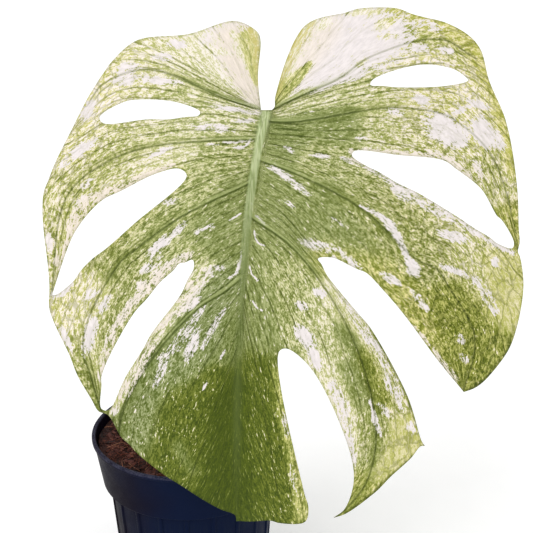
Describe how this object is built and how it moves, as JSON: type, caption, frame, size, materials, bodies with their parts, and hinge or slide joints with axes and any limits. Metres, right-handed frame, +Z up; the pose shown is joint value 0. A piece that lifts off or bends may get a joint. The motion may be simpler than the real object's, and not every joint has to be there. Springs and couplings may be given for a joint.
{
  "type": "potted monstera",
  "caption": "Potted white-variegated monstera: one large split leaf on a bent stalk, rising from bark mix in a round tapered nursery pot with a deep band.",
  "frame": {"origin": "on the pot's axis, on the surface that the pot stands on", "axes": "+Z up, the leaf's face looks towards -Y and leans back a little, the leaf reaches further towards +X"},
  "size_m": [0.2735, 0.1376, 0.3616],
  "materials": {
    "pot": "smooth dark blue-black moulded plastic with a slight sheen",
    "soil": "damp reddish-brown coir and bark fibre",
    "stem": "fibrous olive-green stem with brown rings and tan roots",
    "leaf": "leathery green leaf marbled in cream and white, satin sheen"
  },
  "bodies": {
    "root": {"pot": "pot", "soil": "soil", "stem": "stem", "leaf": "leaf"}
  },
  "joints": []
}
